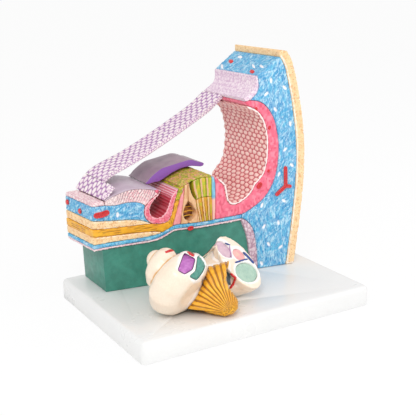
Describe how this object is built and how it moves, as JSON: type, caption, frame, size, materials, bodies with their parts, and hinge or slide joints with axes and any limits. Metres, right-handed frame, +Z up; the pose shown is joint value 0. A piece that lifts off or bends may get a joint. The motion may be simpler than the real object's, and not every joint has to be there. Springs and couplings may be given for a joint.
{
  "type": "cochlea model",
  "caption": "Teaching model of the inner ear: a tall slice through the organ of Corti and a small opened cochlea on a white base plate.",
  "frame": {"origin": "on the table under the middle of the base plate, at the underside of the feet", "axes": "+X along the plate's long side, towards the tall outer bone; +Y to the back; +Z up"},
  "size_m": [0.25, 0.185, 0.2455],
  "materials": {
    "plate_plastic": "satin white moulded plastic",
    "foot_rubber": "matt dark rubber",
    "screw_steel": "plain zinc-plated steel",
    "canal_green": "satin brushed green paint",
    "skin_pink": "scaly pale pink paint",
    "tissue_blue": "blue paint with darker brush strokes",
    "bone_beige": "beige paint with brown specks",
    "nerve_yellow": "orange-yellow paint with brown grooves",
    "duct_pink": "satin pink paint",
    "cell_pink": "pale cells over red grooves",
    "cover_lilac": "satin lilac paint",
    "tectorial_violet": "satin violet and mauve paint",
    "membrane_scales": "pale scales outlined in violet",
    "hair_cell_green": "yellow-green mottled paint",
    "support_orange": "orange-yellow streaked paint",
    "pillar_beige": "beige paint",
    "recess_dark": "dark brown and dark green paint",
    "vessel_red": "glossy red paint",
    "shell_cream": "satin ivory paint",
    "chamber_green": "satin green paint"
  },
  "bodies": {
    "root": {"base_plate": "plate_plastic", "foot_1": "foot_rubber", "foot_2": "foot_rubber", "foot_3": "foot_rubber", "foot_4": "foot_rubber", "screw_1": "screw_steel", "screw_2": "screw_steel", "screw_3": "screw_steel", "screw_4": "screw_steel", "canal_block": "canal_green", "canal_roof_lining": "skin_pink", "canal_wall_lining": "skin_pink", "limbus_skin": "skin_pink", "membrane_root": "skin_pink", "basilar_membrane": "tissue_blue", "limbus_tissue": "tissue_blue", "spiral_ligament": "tissue_blue", "border_cells": "tissue_blue", "lower_bone_shelf": "bone_beige", "upper_bone_shelf": "bone_beige", "outer_bone": "bone_beige", "nerve_fibre_sheet": "nerve_yellow", "cochlear_nerve": "nerve_yellow", "inner_sulcus": "duct_pink", "inner_support_cells": "duct_pink", "duct_wall": "duct_pink", "limbus_teeth": "cell_pink", "duct_lining": "cell_pink", "chamber_duct": "cell_pink", "limbus_cover": "cover_lilac", "chamber_vestibular": "cover_lilac", "tectorial_membrane": "tectorial_violet", "window_vestibular": "tectorial_violet", "roof_membrane": "membrane_scales", "roof_membrane_foot": "membrane_scales", "inner_hair_cells": "hair_cell_green", "top_plate": "hair_cell_green", "outer_hair_cells_1": "hair_cell_green", "outer_hair_cells_2": "hair_cell_green", "outer_hair_cells_3": "hair_cell_green", "support_cells_1": "support_orange", "support_cells_2": "support_orange", "support_cells_3": "support_orange", "inner_pillar": "pillar_beige", "outer_pillar": "pillar_beige", "tunnel_core": "recess_dark", "slot_core": "recess_dark", "ligament_vessel": "vessel_red", "limbus_vessel": "vessel_red", "spiral_vessel": "vessel_red", "duct_vessel_1": "vessel_red", "duct_vessel_2": "vessel_red", "duct_vessel_3": "vessel_red", "side_vessel_1": "vessel_red", "side_vessel_2": "vessel_red", "window_duct": "vessel_red", "cochlea_shell": "shell_cream", "window_tympanic": "chamber_green", "chamber_tympanic": "chamber_green"}
  },
  "joints": []
}
